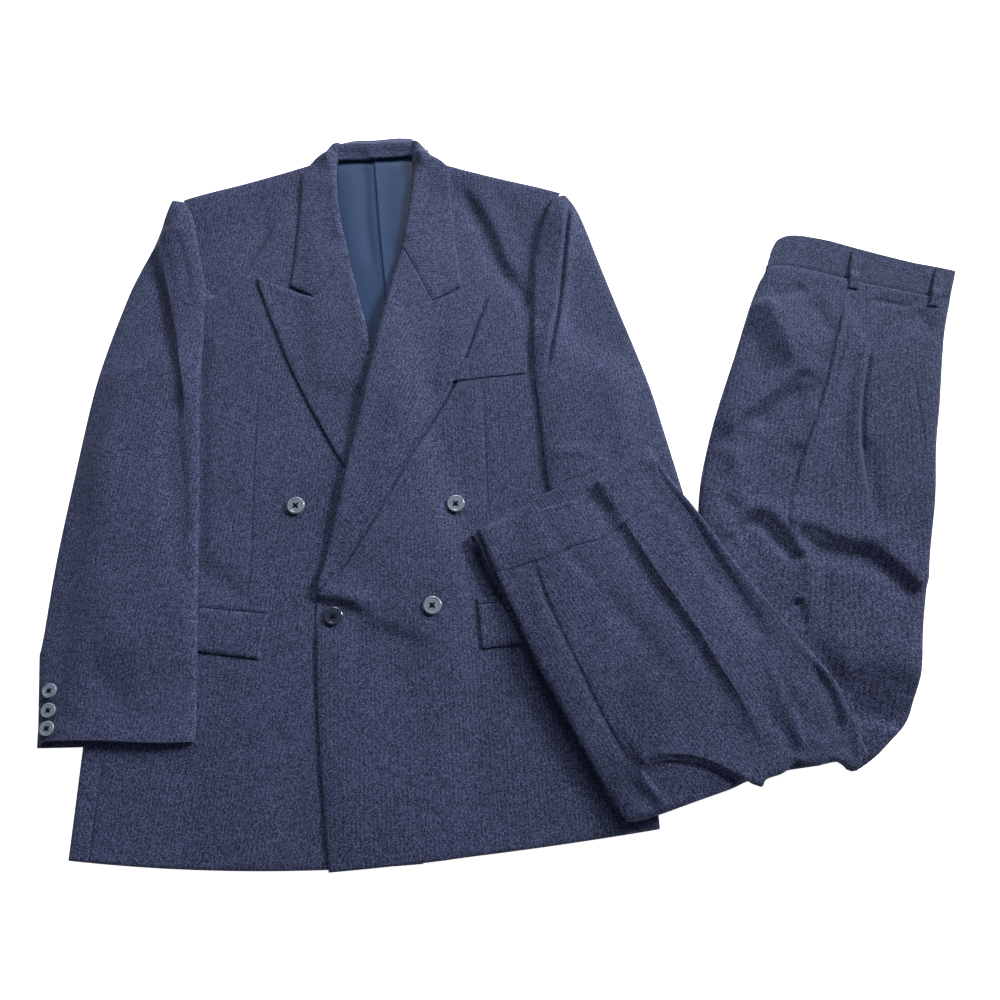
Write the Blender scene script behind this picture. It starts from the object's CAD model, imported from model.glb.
# %% [markdown]
# # A two-piece suit, laid flat
#
# A double-breasted jacket lies front up. Its pleated trousers are folded in quarters beside it, and their
# legs are folded back at the knee, so that the turn-ups rest on the jacket's lower corner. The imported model
# gives plain solids at the right size and place. This lesson lays a thin cloth on each of them, cuts the
# creases into it, and gives the wool, the satin lining and the resin buttons their own look.

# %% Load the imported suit
import math
from collections import namedtuple

import bmesh
import bpy
import numpy as np
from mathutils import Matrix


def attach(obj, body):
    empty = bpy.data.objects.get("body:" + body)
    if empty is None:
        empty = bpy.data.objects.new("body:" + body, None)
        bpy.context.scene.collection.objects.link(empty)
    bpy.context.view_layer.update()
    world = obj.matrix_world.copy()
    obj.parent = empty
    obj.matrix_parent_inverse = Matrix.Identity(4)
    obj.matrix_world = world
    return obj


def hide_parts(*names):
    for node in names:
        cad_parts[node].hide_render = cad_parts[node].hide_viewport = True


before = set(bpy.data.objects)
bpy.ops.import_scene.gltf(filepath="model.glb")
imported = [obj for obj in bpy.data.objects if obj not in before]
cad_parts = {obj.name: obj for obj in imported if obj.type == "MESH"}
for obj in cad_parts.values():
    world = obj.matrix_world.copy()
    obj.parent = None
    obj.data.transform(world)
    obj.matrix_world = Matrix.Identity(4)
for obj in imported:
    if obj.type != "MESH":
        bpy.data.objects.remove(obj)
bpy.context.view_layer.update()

# %% [markdown]
# ## Units and the middle of the cloth
#
# A tailor draws a pattern in millimetres on a table, so every table below holds millimetres on one shared
# plan, with +X towards the wearer's left and +Y towards the collar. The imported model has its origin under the
# middle of the suit, so each point moves by that middle when it goes into a mesh.

# %% Units
MM = 0.001
MIDDLE = (-1.14, 1.5)


def placed(x, y, z):
    """A point of the plan, in millimetres, as metres in the model's frame."""
    return ((x - MIDDLE[0]) * MM, (y - MIDDLE[1]) * MM, z * MM)


# %% [markdown]
# ## The camera
#
# Someone stands at the hem and looks down at the suit, leaning a little over it. A camera that is tilted a
# few degrees from straight down does the same. It is made first, because it says which edges and folds are
# seen best.

# %% Camera
CAMERA_PLACE = (-38, -301, 824.0)
CAMERA_TILT = math.radians(16.7)
CAMERA_LENS = 27.04
SENSOR_WIDTH = 36.0

camera_data = bpy.data.cameras.new("camera")
camera_data.lens = CAMERA_LENS
camera_data.sensor_width = SENSOR_WIDTH
camera = bpy.data.objects.new("camera", camera_data)
camera.location = placed(*CAMERA_PLACE)
camera.rotation_euler = (CAMERA_TILT, 0, 0)
bpy.context.scene.collection.objects.link(camera)
bpy.context.scene.camera = camera
print("camera at", [round(v, 3) for v in camera.location])

# %% [markdown]
# ## Floor and light
#
# In a studio the suit lies on white paper between a broad window, far off beyond the wearer's left shoulder,
# and a soft box beyond the collar. Both graze the cloth: the window darkens the side of a fold that faces the
# wearer's right, and the soft box the side that faces the hem. Their spread keeps the light to a cone that is
# brightest at the collar, so it falls off towards the hem. The pale walls around are the world's own light.

# %% Floor and light
FLOOR_HALF = 6.0
FLOOR_DROP = 0.0002
WALL_COLOUR = (0.80, 0.88, 1.0, 1.0)  # of the pale walls around the suit
WALL_STRENGTH = 0.2

floor_mesh = bmesh.new()
bmesh.ops.create_grid(floor_mesh, x_segments=1, y_segments=1, size=FLOOR_HALF)
bmesh.ops.translate(floor_mesh, verts=floor_mesh.verts, vec=(0, 0, -FLOOR_DROP))
floor_data = bpy.data.meshes.new("floor")
floor_mesh.to_mesh(floor_data)
floor_mesh.free()
floor = bpy.data.objects.new("floor", floor_data)
bpy.context.scene.collection.objects.link(floor)


def lamp(name, place, aim, size, spread, watts):
    """A square soft lamp that hangs at one place and looks at another, with its light kept to a cone."""
    data = bpy.data.lights.new(name, "AREA")
    data.shape = "SQUARE"
    data.size = size
    data.spread = math.radians(spread)
    data.energy = watts
    made = bpy.data.objects.new(name, data)
    made.location = place
    direction = np.array(aim) - np.array(place)
    tilt = math.atan2(math.hypot(direction[0], direction[1]), -direction[2])
    made.rotation_euler = (tilt, 0, math.atan2(-direction[0], direction[1]))
    bpy.context.scene.collection.objects.link(made)


lamp("window", (4.4, 3.08, 2.67), (0.0, 0.42, 0), size=2.0, spread=24, watts=23.5)
lamp("softbox", (-0.1, 2.65, 1.35), (0.0, 0.45, 0), size=1.2, spread=40, watts=5.6)
world = bpy.data.worlds.new("studio")
bpy.context.scene.world = world
world.use_nodes = True
backdrop = world.node_tree.nodes["Background"]
backdrop.inputs["Color"].default_value = WALL_COLOUR
backdrop.inputs["Strength"].default_value = WALL_STRENGTH
bpy.context.scene.view_settings.view_transform = "Standard"

# %% [markdown]
# ## Colours and nodes
#
# Colours are written as a designer reads them off a swatch, in sRGB hex, and one function turns them to the
# linear values that the renderer adds and multiplies. Another adds a node with its settings and links, and
# the short ones after it add the kinds of node that the looks below need most often.

# %% Colour and node helpers
def colour(code):
    """An sRGB hex colour as a linear RGBA value."""
    parts = [int(code[i : i + 2], 16) / 255 for i in (0, 2, 4)]
    return tuple(p / 12.92 if p <= 0.04045 else ((p + 0.055) / 1.055) ** 2.4 for p in parts) + (1.0,)


def fill(tree, node, inputs):
    """Fills a node's inputs, given as (socket, value) pairs, and links each value that is an output."""
    for socket, value in inputs:
        if isinstance(value, bpy.types.NodeSocket):
            tree.links.new(value, node.inputs[socket])
        else:
            node.inputs[socket].default_value = value


def add(tree, kind, inputs=(), **settings):
    """Adds a node, sets its settings and fills its inputs."""
    made = tree.nodes.new(kind)
    for name, value in settings.items():
        setattr(made, name, value)
    fill(tree, made, inputs)
    return made


def maths(tree, operation, *values, kind="ShaderNodeMath"):
    """The result of one operation on numbers or, with the kind ShaderNodeVectorMath, on points."""
    return add(tree, kind, enumerate(values), operation=operation).outputs[0]


def mapped(tree, value, *limits):
    """A number moved from one range to another. The limits are the ends of the first, then of the second."""
    names = ("From Min", "From Max", "To Min", "To Max")
    return add(tree, "ShaderNodeMapRange", [("Value", value), *zip(names, limits)]).outputs[0]


def mixed(tree, share, first, second):
    """A blend of two colours, each a hex code or another node's output."""
    first, second = (colour(end) if isinstance(end, str) else end for end in (first, second))
    inputs = [("Factor", share), ("A", first), ("B", second)]
    return add(tree, "ShaderNodeMix", inputs, data_type="RGBA").outputs["Result"]


def noise(tree, where, scale, detail=2.0, output="Fac"):
    """Soft noise, as a number or, with the output Color, as three of them."""
    inputs = [("Vector", where), ("Scale", scale), ("Detail", detail)]
    return add(tree, "ShaderNodeTexNoise", inputs).outputs[output]


def dice(tree, socket, value, dimensions):
    """A random number for each value of the socket, W for a number and Vector for a point."""
    made = add(tree, "ShaderNodeTexWhiteNoise", [(socket, value)], noise_dimensions=dimensions)
    return made.outputs["Value"]


def bumped(tree, strength, distance, height):
    """A surface direction that is tilted as if the surface had the height."""
    inputs = [("Strength", strength), ("Distance", distance), ("Height", height)]
    return add(tree, "ShaderNodeBump", inputs).outputs["Normal"]


def material(name):
    """A new material, its node tree and its shader."""
    made = bpy.data.materials.new(name)
    made.use_nodes = True
    tree = made.node_tree
    return made, tree, tree.nodes["Principled BSDF"]


# %% [markdown]
# ## Wool suiting with broken flecks
#
# The cloth is a worsted wool in dark navy. Navy and grey-blue threads cross in a salt-and-pepper of fine
# points, and every 4.3 mm a darker gap runs along the warp beside a row of pale, broken flecks. Threads are
# 0.5 mm apart, finer than a picture of the whole suit can show, so the points here are a little larger,
# 0.55 mm by 0.75 mm. The cloth carries its own map: across the rows in the first coordinate and along them in
# the second, both in metres, so that the rows follow the grain of each cut piece.

# %% Wool suiting
ROW_PITCH = 4.3
FLECK_LENGTH = 1.7
POINT = (0.55, 0.75)  # across the rows and along them
WANDER = (0.0003, 0.0, 0.0)  # how far a row strays, in metres
GAP_FADE = (0.06, 0.30)  # from the gap's middle, in shares of the pitch
FLECKS_BEGIN = (0.24, 0.40)  # the same, for the flecks beside the gap
FLECKS_SHOWN = (0.45, 1.0)  # the dice that show a fleck
FLECK_TONE = 0.22
GAP_TONE = (0.02, 0.13)  # where the gap is worn away, and where it is clear
PEPPER_POWER = 4.0
PEPPER_TONE = 1.35
LEAST_TONE = 0.01

wool, tree, shader = material("worsted_wool_suiting")
weave = add(tree, "ShaderNodeUVMap", uv_map="weave").outputs["UV"]
drift = noise(tree, weave, 60.0, 1.0, "Color")
wander = maths(tree, "MULTIPLY", drift, WANDER, kind="ShaderNodeVectorMath")
yarn = maths(tree, "ADD", weave, wander, kind="ShaderNodeVectorMath")
split = add(tree, "ShaderNodeSeparateXYZ", [("Vector", yarn)])
row_at = maths(tree, "MULTIPLY", split.outputs["X"], 1 / (ROW_PITCH * MM))
row = maths(tree, "FLOOR", row_at)
in_row = maths(tree, "FRACT", row_at)
from_gap = maths(tree, "ABSOLUTE", maths(tree, "SUBTRACT", in_row, 0.5))
gap = mapped(tree, from_gap, *GAP_FADE, 1.0, 0.0)
along = maths(tree, "MULTIPLY_ADD", split.outputs["Y"], 1 / (FLECK_LENGTH * MM), dice(tree, "W", row, "1D"))
fleck_cell = add(tree, "ShaderNodeCombineXYZ", [("X", row), ("Y", maths(tree, "FLOOR", along))])
fleck_shown = mapped(tree, dice(tree, "Vector", fleck_cell.outputs[0], "2D"), *FLECKS_SHOWN)
fleck = maths(tree, "MULTIPLY", fleck_shown, mapped(tree, from_gap, *FLECKS_BEGIN))
points_per_metre = (1 / (POINT[0] * MM), 1 / (POINT[1] * MM), 0.0)
point_at = maths(tree, "MULTIPLY", weave, points_per_metre, kind="ShaderNodeVectorMath")
point_cell = maths(tree, "FLOOR", point_at, kind="ShaderNodeVectorMath")
sparse = maths(tree, "POWER", dice(tree, "Vector", point_cell, "2D"), PEPPER_POWER)
pepper = maths(tree, "MULTIPLY_ADD", sparse, PEPPER_TONE, LEAST_TONE)
clear = mapped(tree, noise(tree, weave, 11.0, 1.0), 0.35, 0.65, *GAP_TONE)
lined = maths(tree, "SUBTRACT", pepper, maths(tree, "MULTIPLY", gap, clear))
tone = maths(tree, "MULTIPLY_ADD", fleck, FLECK_TONE, lined)
ground = mixed(tree, noise(tree, weave, 9.0), "14202f", "1e1b38")
fill(tree, shader, [
    ("Base Color", mixed(tree, tone, ground, "5a6284")),
    ("Normal", bumped(tree, 0.3, 0.0003, tone)),
    ("Roughness", 0.9),
    ("Specular IOR Level", 0.2),
    ("Sheen Weight", 0.05),
    ("Sheen Roughness", 0.5),
    ("Sheen Tint", colour("aab2d8")),
])

# %% [markdown]
# ## Satin lining
#
# The lining is a polyester satin. Its long floats lie side by side, so it is smoother and bluer than the wool
# and throws the light back in soft stripes along its folds. Its threads are far finer than the picture shows,
# so a fine streak along the cloth stands for them.

# %% Satin lining
STREAKS = (1600.0, 60.0, 1.0)  # in a metre across the cloth and along it

satin, tree, shader = material("polyester_satin_lining")
weave = add(tree, "ShaderNodeUVMap", uv_map="weave").outputs["UV"]
floats = add(tree, "ShaderNodeMapping", [("Vector", weave), ("Scale", STREAKS)])
streaks = noise(tree, floats.outputs["Vector"], 1.0, 1.0)
fill(tree, shader, [
    ("Base Color", mixed(tree, streaks, "172a48", "243b5e")),
    ("Normal", bumped(tree, 0.15, 0.0002, streaks)),
    ("Roughness", 0.6),
    ("Specular IOR Level", 0.16),
    ("Sheen Weight", 0.05),
])

# %% [markdown]
# ## Resin buttons and their thread
#
# The buttons are cast polyester resin, turned on a lathe and polished. The resin is dark grey-navy with faint
# clouds, and its polish gives small clear highlights. Resin is cast in batches, and the fastened button comes
# from a darker one. They are sewn on with a dark spun thread. The paper below the suit is matt and white, and
# it glows, because a studio floor is lit until it is plain white.

# %% Resin, thread and paper
def clouded(name, scale, detail, dark, light):
    """A material with soft clouds between two colours, with its node tree and its shader."""
    made, tree, shader = material(name)
    here = add(tree, "ShaderNodeTexCoord").outputs["Object"]
    fill(tree, shader, [("Base Color", mixed(tree, noise(tree, here, scale, detail), dark, light))])
    return made, tree, shader


resins = []
for name, dark, light in (
    ("polished_polyester_resin", "4e5664", "808897"),
    ("dark_polyester_resin", "171c2d", "272d42"),
):
    made, tree, shader = clouded(name, 260.0, 3.0, dark, light)
    fill(tree, shader, [("Roughness", 0.27), ("IOR", 1.54), ("Coat Weight", 0.3)])
    resins.append(made)
resin, dark_resin = resins

thread_cloth, tree, shader = clouded("spun_polyester_thread", 2500.0, 2.0, "06070b", "10121a")
fill(tree, shader, [("Roughness", 0.9), ("Specular IOR Level", 0.1)])

paper, tree, shader = clouded("matt_white_paper", 3.0, 2.0, "f6f6f7", "f9f9f9")
glow = [("Emission Color", colour("ffffff")), ("Emission Strength", 0.92)]
fill(tree, shader, [("Roughness", 0.9), *glow])
floor_data.materials.append(paper)
print("materials:", [m.name for m in (wool, satin, resin, thread_cloth, paper)])

# %% [markdown]
# ## The heap
#
# A suit is laid down piece by piece, and each piece settles on what is already there. The heap keeps the
# height of everything laid so far on a raster. Cloth doesn't follow a hard step below it but leans over it,
# so the heap is first spread out and then blurred by less than that: the result is soft and never dips below
# what it covers.

# %% The heap
RASTER = 2.0
HEAP_LOW = (-560.0, -480.0)
HEAP_CELLS = (560, 480)
CLEARANCE = 0.3


def joined(lattice, low, share):
    """A lattice's values between its points, at a share of the way from the low corner of each cell."""
    x, y = low[..., 0], low[..., 1]
    a, b = share[..., 0], share[..., 1]
    found = (lattice[x, y] * (1 - a) + lattice[x + 1, y] * a) * (1 - b)
    return found + (lattice[x, y + 1] * (1 - a) + lattice[x + 1, y + 1] * a) * b


class Heap:
    """The height of everything laid so far."""

    def __init__(self, height=None):
        self.height = np.zeros(HEAP_CELLS) if height is None else height.copy()

    def copy(self):
        return Heap(self.height)

    def lay(self, face):
        """Adds a face, an array of rows and columns of points, to the heap."""
        longest = max(np.linalg.norm(np.diff(face[..., :2], axis=axis), axis=-1).max() for axis in (0, 1))
        steps = np.linspace(0, 1, int(np.ceil(longest / RASTER)) + 1)
        for a in steps:
            line = face[:-1] * (1 - a) + face[1:] * a
            for b in steps:
                points = (line[:, :-1] * (1 - b) + line[:, 1:] * b).reshape(-1, 3)
                cell = np.floor((points[:, :2] - HEAP_LOW) / RASTER).astype(int)
                cell = np.clip(cell, 0, np.array(HEAP_CELLS) - 1)
                np.maximum.at(self.height, (cell[:, 0], cell[:, 1]), points[:, 2])

    def settled(self, plan, reach):
        """Where a cloth comes to rest at each plan point, when it bridges steps over the reach given.

        With a reach of 0 it clings to what is below it.
        """
        steps = max(2, round(reach / RASTER))
        height = self.height
        for axis in (0, 1) if reach else ():
            height = np.max([np.roll(height, s, axis) for s in range(-steps - 1, steps + 2)], axis=0)
        blur = range(-(steps // 2), steps // 2 + 1)
        for axis in (0, 1, 0, 1):
            height = np.mean([np.roll(height, s, axis) for s in blur], axis=0)
        at = (plan - HEAP_LOW) / RASTER - 0.5
        low = np.clip(np.floor(at).astype(int), 0, np.array(HEAP_CELLS) - 2)
        found = joined(height, low, np.clip(at - low, 0, 1))
        return found + (np.minimum(found, CLEARANCE) if reach else 0.0)


# %% [markdown]
# ## The cut of a piece
#
# A cut piece is a short table: each row gives the left and right edge at one height, how far the row sags
# between them, and whether the outline turns a corner there. A smooth curve runs through the rows between two
# corners, and points are spread along it. The points across a row crowd together at the edges and at fine
# creases, because that is where the cloth bends most.

# %% The cut
Row = namedtuple("Row", "left_x left_y right_x right_y bow corner", defaults=(0.0, 0))
Crease = namedtuple(
    "Crease", "path left right height start end fine sharp", defaults=(0.25, 0.25, False, False)
)
Swell = namedtuple("Swell", "x y reach_x reach_y height")
Grain = namedtuple("Grain", "x y lean fan across", defaults=(0.0, False))
EDGE_CROWD = 1.6
EDGE_REACH = 6.0
CREASE_CROWD = 3.0
CREASE_REACH = 7.0
CREASE_NEAR = 14.0
NOTCH_REACH = 5.0
EDGE_COLUMNS = 6
CREASE_COLUMNS = 8
END_STEPS = (0.15, 0.4, 0.7)
SAMPLES = 240
BENT_REACH = 60.0


def spline(values, at):
    """Values at fractional row numbers, as one smooth run between each pair of corners."""
    values = np.asarray(values, float)
    slope = np.gradient(values, axis=0)
    low = np.minimum(np.floor(at).astype(int), len(values) - 2)
    t = (at - low)[:, None]
    start, end = values[low], values[low + 1]
    return (
        start * (2 * t**3 - 3 * t**2 + 1)
        + slope[low] * (t**3 - 2 * t**2 + t)
        + end * (3 * t**2 - 2 * t**3)
        + slope[low + 1] * (t**3 - t**2)
    )


def sections(rows, cell):
    """The table's rows and enough between them that no step is longer than a cell, closer at both ends."""
    table = np.array([row[:5] for row in rows], float)
    corners = [0] + [i for i in range(1, len(rows) - 1) if rows[i].corner] + [len(rows) - 1]
    found = []
    for first, last in zip(corners, corners[1:]):
        run = table[first : last + 1]
        at = [0.0]
        for i in range(len(run) - 1):
            length = max(np.hypot(*(run[i + 1, k : k + 2] - run[i, k : k + 2])) for k in (0, 2))
            steps = max(1, int(np.ceil(length / cell)))
            at += [i + (k + 1) / steps for k in range(steps)]
        if first == 0:
            at += [at[1] * share for share in END_STEPS]
        if last == len(rows) - 1:
            at += [at[-1] - (1 / steps) * share for share in END_STEPS]
        at = np.array(sorted(at))
        part = spline(run, at) if len(run) > 2 else run[0] + (run[1] - run[0]) * at[:, None]
        found.append(part if not found else part[1:])
    return np.concatenate(found)


def along_path(plan, path):
    """How far each plan point lies from a smooth path, on which side, and at which share of its length."""
    line = np.array(path, float)
    if len(line) > 2:
        line = spline(line, np.linspace(0, len(line) - 1, 5 * (len(line) - 1) + 1))
    steps = np.linalg.norm(np.diff(line, axis=0), axis=1)
    run = np.concatenate([[0], np.cumsum(steps)])
    away = np.full(plan.shape[:-1], np.inf)
    side = np.zeros(away.shape)
    share = np.zeros(away.shape)
    for start, end, step, before in zip(line, line[1:], steps, run):
        ahead = (end - start) / step
        offset = plan - start
        t = np.clip(offset @ ahead, 0, step)
        distance = np.linalg.norm(offset - t[..., None] * ahead, axis=-1)
        closer = distance < away
        away = np.where(closer, distance, away)
        side = np.where(closer, np.sign(ahead[0] * offset[..., 1] - ahead[1] * offset[..., 0]), side)
        share = np.where(closer, (before + t) / run[-1], share)
    return away, side, share


def ease(t):
    """0 below 0, 1 above 1, and a soft S between."""
    t = np.clip(t, 0, 1)
    return t * t * (3 - 2 * t)


def fading(crease, share):
    """How much of a crease is left at each share of its length."""
    found = ease(share / crease.start) if crease.start else np.ones(share.shape)
    return found * (ease((1 - share) / crease.end) if crease.end else 1.0)


def bent(plan, path, end):
    """Draws one end of a cut, its first or last row, to a path, and the rows near it less and less."""
    line = spline(np.array(path, float), np.linspace(0, len(path) - 1, 8 * (len(path) - 1) + 1))
    run = np.concatenate([[0], np.cumsum(np.linalg.norm(np.diff(line, axis=0), axis=1))])
    row = plan[end]
    share = np.concatenate([[0], np.cumsum(np.linalg.norm(np.diff(row, axis=0), axis=1))])
    share = share / share[-1] * run[-1]
    wanted = np.stack([np.interp(share, run, line[:, k]) for k in (0, 1)], axis=-1)
    away = np.linalg.norm(plan - row[None], axis=-1)
    return plan + (wanted - row)[None] * ease(1 - away / min(BENT_REACH, 0.9 * away.max()))[..., None]


def cut(rows, cell, creases=(), notch=None, head=None, foot=None):
    """Plan points of a piece, and how far each lies from its left, right, head and foot edge.

    A row sags by its bow on a parabola or, where the piece has a notch, on two straight lines that meet
    there.
    """
    table = sections(rows, cell)
    left, right, bow = table[:, None, :2], table[:, None, 2:4], table[:, 4][:, None]
    span = right - left
    width = np.linalg.norm(span, axis=2)
    fine = [crease for crease in creases if crease.fine]
    columns = int(np.ceil(width.max() / cell)) + EDGE_COLUMNS + CREASE_COLUMNS * len(fine)

    def spread(across):
        sagging = 4 * across * (1 - across)
        if notch:
            sagging = np.minimum(across / notch, (1 - across) / (1 - notch))
        sag = np.stack([span[..., 1], -span[..., 0]], axis=-1) / np.maximum(width, 1e-6)[..., None]
        return left + span * across[..., None] + sag * (bow * sagging)[..., None]

    even = np.linspace(0, 1, SAMPLES + 1)[None, :] + np.zeros((len(table), 1))
    edge = np.minimum(even, 1 - even) * width
    crowd = 1 + EDGE_CROWD * np.exp(-((edge / EDGE_REACH) ** 2))
    rough = spread(even)
    for crease in fine:
        away = along_path(rough, crease.path)[0]
        weight = np.exp(-((away.min(axis=1, keepdims=True) / CREASE_NEAR) ** 2))
        crowd += CREASE_CROWD * weight * np.exp(-((away / CREASE_REACH) ** 2))
    if notch:
        crowd += CREASE_CROWD * np.exp(-(((even - notch) * width / NOTCH_REACH) ** 2))
    total = np.cumsum((crowd[:, 1:] + crowd[:, :-1]) / 2, axis=1)
    total = np.concatenate([np.zeros((len(table), 1)), total], axis=1)
    total /= total[:, -1:]
    wanted = np.linspace(0, 1, columns + 1)
    across = np.array([np.interp(wanted, row, even[0]) for row in total])
    plan = spread(across)
    if head:
        plan = bent(plan, head, 0)
    if foot:
        plan = bent(plan, foot, -1)
    middle = (left + right)[:, 0] / 2
    run = np.concatenate([[0], np.cumsum(np.linalg.norm(np.diff(middle, axis=0), axis=1))])[:, None]
    flat = np.zeros(across.shape)
    return plan, np.stack([across * width, (1 - across) * width, run + flat, run[-1] - run + flat], axis=-1)


# %% [markdown]
# ## Creases and soft waves
#
# Cloth that has been worn and packed keeps creases. Each is a path with its own height, a width on each side,
# and ends that fade out: a narrow side makes the sharp lip of a fold, a wide one its soft back. Below them
# lies a faint unevenness that no cloth is free of, from random heights on a wide lattice that are joined
# smoothly. A crease that was pressed in is sharp: its profile comes to a point instead of a round crest.

# %% Creases
ROUND_CREST = 2
SHARP_CREST = 1.3
LATTICE_LOW = (-640.0, -540.0)
LATTICE_SIZE = (1300, 1100)


def raised(plan, creases, swells):
    """Height that the creases and swells add at each plan point."""
    found = np.zeros(plan.shape[:-1])
    for crease in creases:
        away, side, share = along_path(plan, crease.path)
        width = np.where(side > 0, crease.left, crease.right)
        crest = SHARP_CREST if crease.sharp else ROUND_CREST
        found += crease.height * np.exp(-((away / width) ** crest)) * fading(crease, share)
    for swell in swells:
        x = (plan[..., 0] - swell.x) / swell.reach_x
        y = (plan[..., 1] - swell.y) / swell.reach_y
        found += swell.height * np.exp(-(x**2 + y**2))
    return found


def waves(plan, spacing, height, seed):
    """Soft random unevenness: heights on a lattice with the spacing given, joined smoothly."""
    size = [int(length / spacing) + 3 for length in LATTICE_SIZE]
    lattice = np.random.default_rng(seed).normal(size=size)
    at = (plan - np.array(LATTICE_LOW)) / spacing
    low = np.floor(at).astype(int)
    return height * joined(lattice, low, ease(at - low))


# %% [markdown]
# ## From a cut to a thin cloth
#
# A flat grid is the plainest start for cloth. It becomes the underside, and each extrusion of it becomes one
# ring round the edge and at last the face, so the cloth is closed and its edge is rounded. The grid remembers
# where each point belongs, because its columns, rows and rings stay whole numbers until the very end, when
# each point is sent to its place.

# %% Thin cloth
EDGE_RINGS = ((0.25, -0.5), (0.7, -0.45), (1.0, 0.45))
THINNEST = 0.4


def inward_of(plan):
    """Unit steps from each edge point of a grid into it, and zero inside."""
    found = np.zeros(plan.shape)
    for grid, result in ((plan, found), (plan.transpose(1, 0, 2), found.transpose(1, 0, 2))):
        for end, beside in ((0, 1), (-1, -2)):
            step = grid[beside] - grid[end]
            result[end] += step / np.maximum(np.linalg.norm(step, axis=1, keepdims=True), 1e-6)
    return found


def weave_map(plan, grain):
    """Metres across the weave's rows and along them, for a cut whose rows lean and may fan out."""
    x, down = plan[..., 0] - grain.x, grain.y - plan[..., 1]
    lean = math.radians(grain.lean)
    over = (math.cos(lean) * x + math.sin(lean) * down) / (1 - grain.fan * down)
    along = math.cos(lean) * down - math.sin(lean) * x
    return np.stack([along, over] if grain.across else [over, along], axis=-1) * MM


def extruded_grid(columns, rows, rings):
    """A grid with the whole number of its ring as each point's height, closed by its extrusions."""
    bm = bmesh.new()
    bmesh.ops.create_grid(bm, x_segments=columns, y_segments=rows, size=1.0)
    region = bm.faces[:]
    for _ in range(rings):
        edges = list({edge for face in region for edge in face.edges})
        verts = list({vert for face in region for vert in face.verts})
        made = bmesh.ops.extrude_face_region(bm, geom=region + edges + verts)["geom"]
        region = [item for item in made if isinstance(item, bmesh.types.BMFace)]
        verts = [item for item in made if isinstance(item, bmesh.types.BMVert)]
        bmesh.ops.translate(bm, verts=verts, vec=(0, 0, 1))
    return bm


def grid_places(bm, columns, rows):
    """Row, column and ring of each vertex of an extruded grid."""
    co = np.array([vert.co[:] for vert in bm.verts])
    column = np.rint((co[:, 0] + 1) / 2 * columns).astype(int)
    row = np.rint((1 - co[:, 1]) / 2 * rows).astype(int)
    return row, column, np.rint(co[:, 2]).astype(int)


def smooth_object(name, bm, slot_material):
    """A smooth object from a finished bmesh in metres."""
    mesh = bpy.data.meshes.new(name)
    bm.to_mesh(mesh)
    bm.free()
    mesh.shade_smooth()
    mesh.materials.append(slot_material)
    obj = bpy.data.objects.new(name, mesh)
    bpy.context.scene.collection.objects.link(obj)
    return obj


def finished(name, bm, points, weave, slot_material):
    """Sends each vertex to its place, in millimetres, and makes the named object with its weave map."""
    for vert, (x, y, z) in zip(bm.verts, points):
        vert.co = placed(x, y, z)
    bmesh.ops.recalc_face_normals(bm, faces=bm.faces[:])
    obj = smooth_object(name, bm, slot_material)
    corners = np.zeros(len(obj.data.loops), int)
    obj.data.loops.foreach_get("vertex_index", corners)
    layer = obj.data.uv_layers.new(name="weave")
    layer.data.foreach_set("uv", weave[corners].astype(np.float32).ravel())
    return obj


def between(name, plan, underside, face, rings, grain, slot_material):
    """A closed cloth between an underside and a face, with the rings given round its edge."""
    rows, columns = plan.shape[0] - 1, plan.shape[1] - 1
    bm = extruded_grid(columns, rows, len(rings))
    row, column, ring = grid_places(bm, columns, rows)
    shares = np.array([0.0] + [share for share, _ in rings])[ring]
    insets = np.array([0.0] + [inset for _, inset in rings])[ring]
    flat = plan[row, column] + inward_of(plan)[row, column] * insets[:, None]
    low, high = underside[row, column], face[row, column]
    points = np.column_stack([flat, low + (high - low) * shares])
    return finished(name, bm, points, weave_map(plan, grain)[row, column], slot_material)


# %% [markdown]
# ## Laying a piece
#
# A laid piece has a bed, the settled heap below it. Its face lies above that by its wall and by some loft,
# the air and the turned-in layers that keep real cloth from lying dead flat. The loft rises from each edge on
# a quarter circle: over a few millimetres where the cloth is folded, and further in where it ends in a single
# edge. The creases then cut into that loft.

# %% Laying a piece
Laid = namedtuple("Laid", "obj plan face")
CELL = 3.55
WAVE_FADE = 25.0
BROAD_WAVES = 85.0
SMALL_WAVES = 24.0
SMALL_SHARE = 0.2
SMALL_SEED = 50
BED_GAP = 0.05


def rounded(distance, radius):
    """1 well inside an edge, falling on a quarter circle to 0 at it, or 1 throughout for a radius of 0."""
    inside = np.clip(distance / np.maximum(radius, 1e-6), 0, 1)
    return np.where(np.asarray(radius) > 0, np.sqrt(1 - (1 - inside) ** 2), 1.0)


def unevenness(plan, inside, spacing, height, seed):
    """Broad waves with small ones on them. They die out near an edge, from which inside is the distance."""
    broad = waves(plan, spacing, height, seed)
    small = waves(plan, SMALL_WAVES, height * SMALL_SHARE, seed + SMALL_SEED)
    return (broad + small) * ease(inside / WAVE_FADE)


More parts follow.
